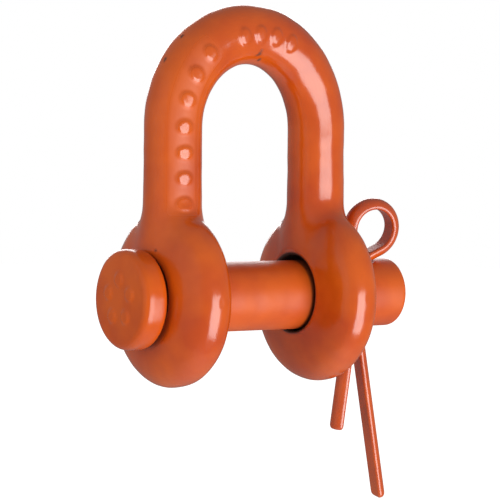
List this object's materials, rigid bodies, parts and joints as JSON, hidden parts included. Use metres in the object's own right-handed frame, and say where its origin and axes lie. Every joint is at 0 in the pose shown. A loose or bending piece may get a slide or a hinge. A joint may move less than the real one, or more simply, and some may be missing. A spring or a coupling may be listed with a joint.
{
  "type": "dee shackle",
  "caption": "Painted forged dee shackle with a round headed pin locked by a split cotter pin, used to join chain, eyes and slings.",
  "frame": {"origin": "on the axis of the clevis pin, midway between the two ears", "axes": "+X along the pin from its head to its cotter end, +Z towards the crown of the bow, -Y is the front"},
  "size_m": [0.0795, 0.0404, 0.117],
  "materials": {
    "body_paint": "gloss",
    "pin_paint": "gloss",
    "cotter_paint": "gloss"
  },
  "bodies": {
    "shackle": {"shackle_body": "body_paint"},
    "pin": {"clevis_pin": "pin_paint"},
    "cotter": {"cotter_pin": "cotter_paint"}
  },
  "joints": [
    {"name": "pin_turn", "type": "hinge", "parent": "shackle", "child": "pin", "pos_m": [0, 0, 0], "axis": [1, 0, 0], "continuous": true},
    {"name": "cotter_lift", "type": "slide", "parent": "pin", "child": "cotter", "axis": [0, -0.1392, 0.9903], "range_m": [0, 0.0015]}
  ]
}
